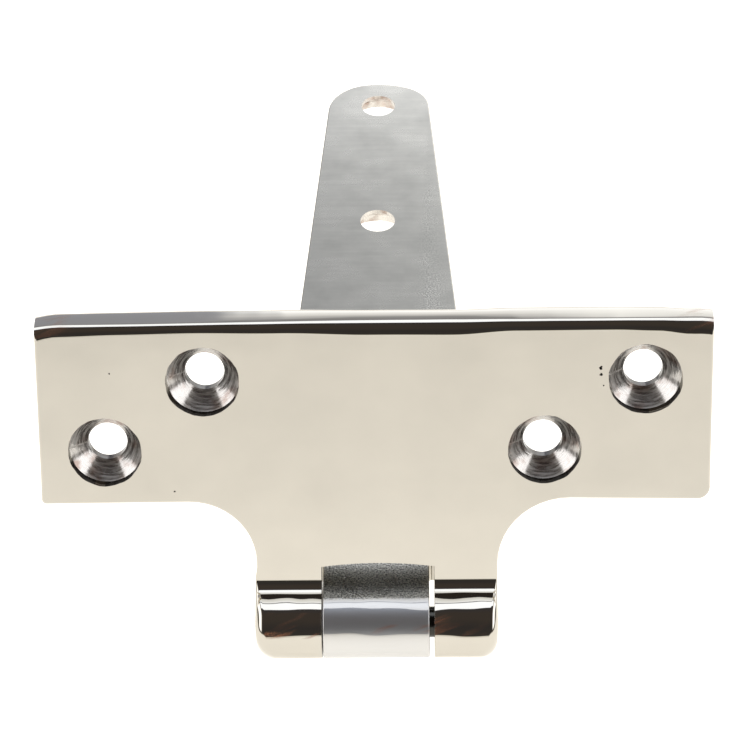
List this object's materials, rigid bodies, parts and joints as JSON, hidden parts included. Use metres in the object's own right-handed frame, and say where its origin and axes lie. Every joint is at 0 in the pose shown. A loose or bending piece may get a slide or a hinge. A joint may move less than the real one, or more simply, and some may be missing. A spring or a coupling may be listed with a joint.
{
  "type": "t hinge",
  "caption": "Polished T hinge: a wide cross plate and a long tapered strap on one pin, both countersunk for screws.",
  "frame": {"origin": "on the back face of the strap, at the middle of its row of screw holes", "axes": "+X along the pin, +Y along the strap towards its tip, +Z out of the strap's back face"},
  "size_m": [0.1, 0.1358, 0.051],
  "materials": {
    "cross_plate": "cast stainless steel, front and barrel polished to a mirror",
    "strap": "cast stainless steel, front polished to a mirror, back left a plain satin grey",
    "hinge_pin": "turned stainless steel, ends polished with the barrel"
  },
  "bodies": {
    "strap_leaf": {"strap": "strap"},
    "cross_leaf": {"cross_plate": "cross_plate", "hinge_pin": "hinge_pin"}
  },
  "joints": [
    {"name": "leaf_hinge", "type": "hinge", "parent": "strap_leaf", "child": "cross_leaf", "pos_m": [0, -0.07485, -0.00545], "axis": [1, 0, 0], "range_deg": [0, 288]}
  ]
}
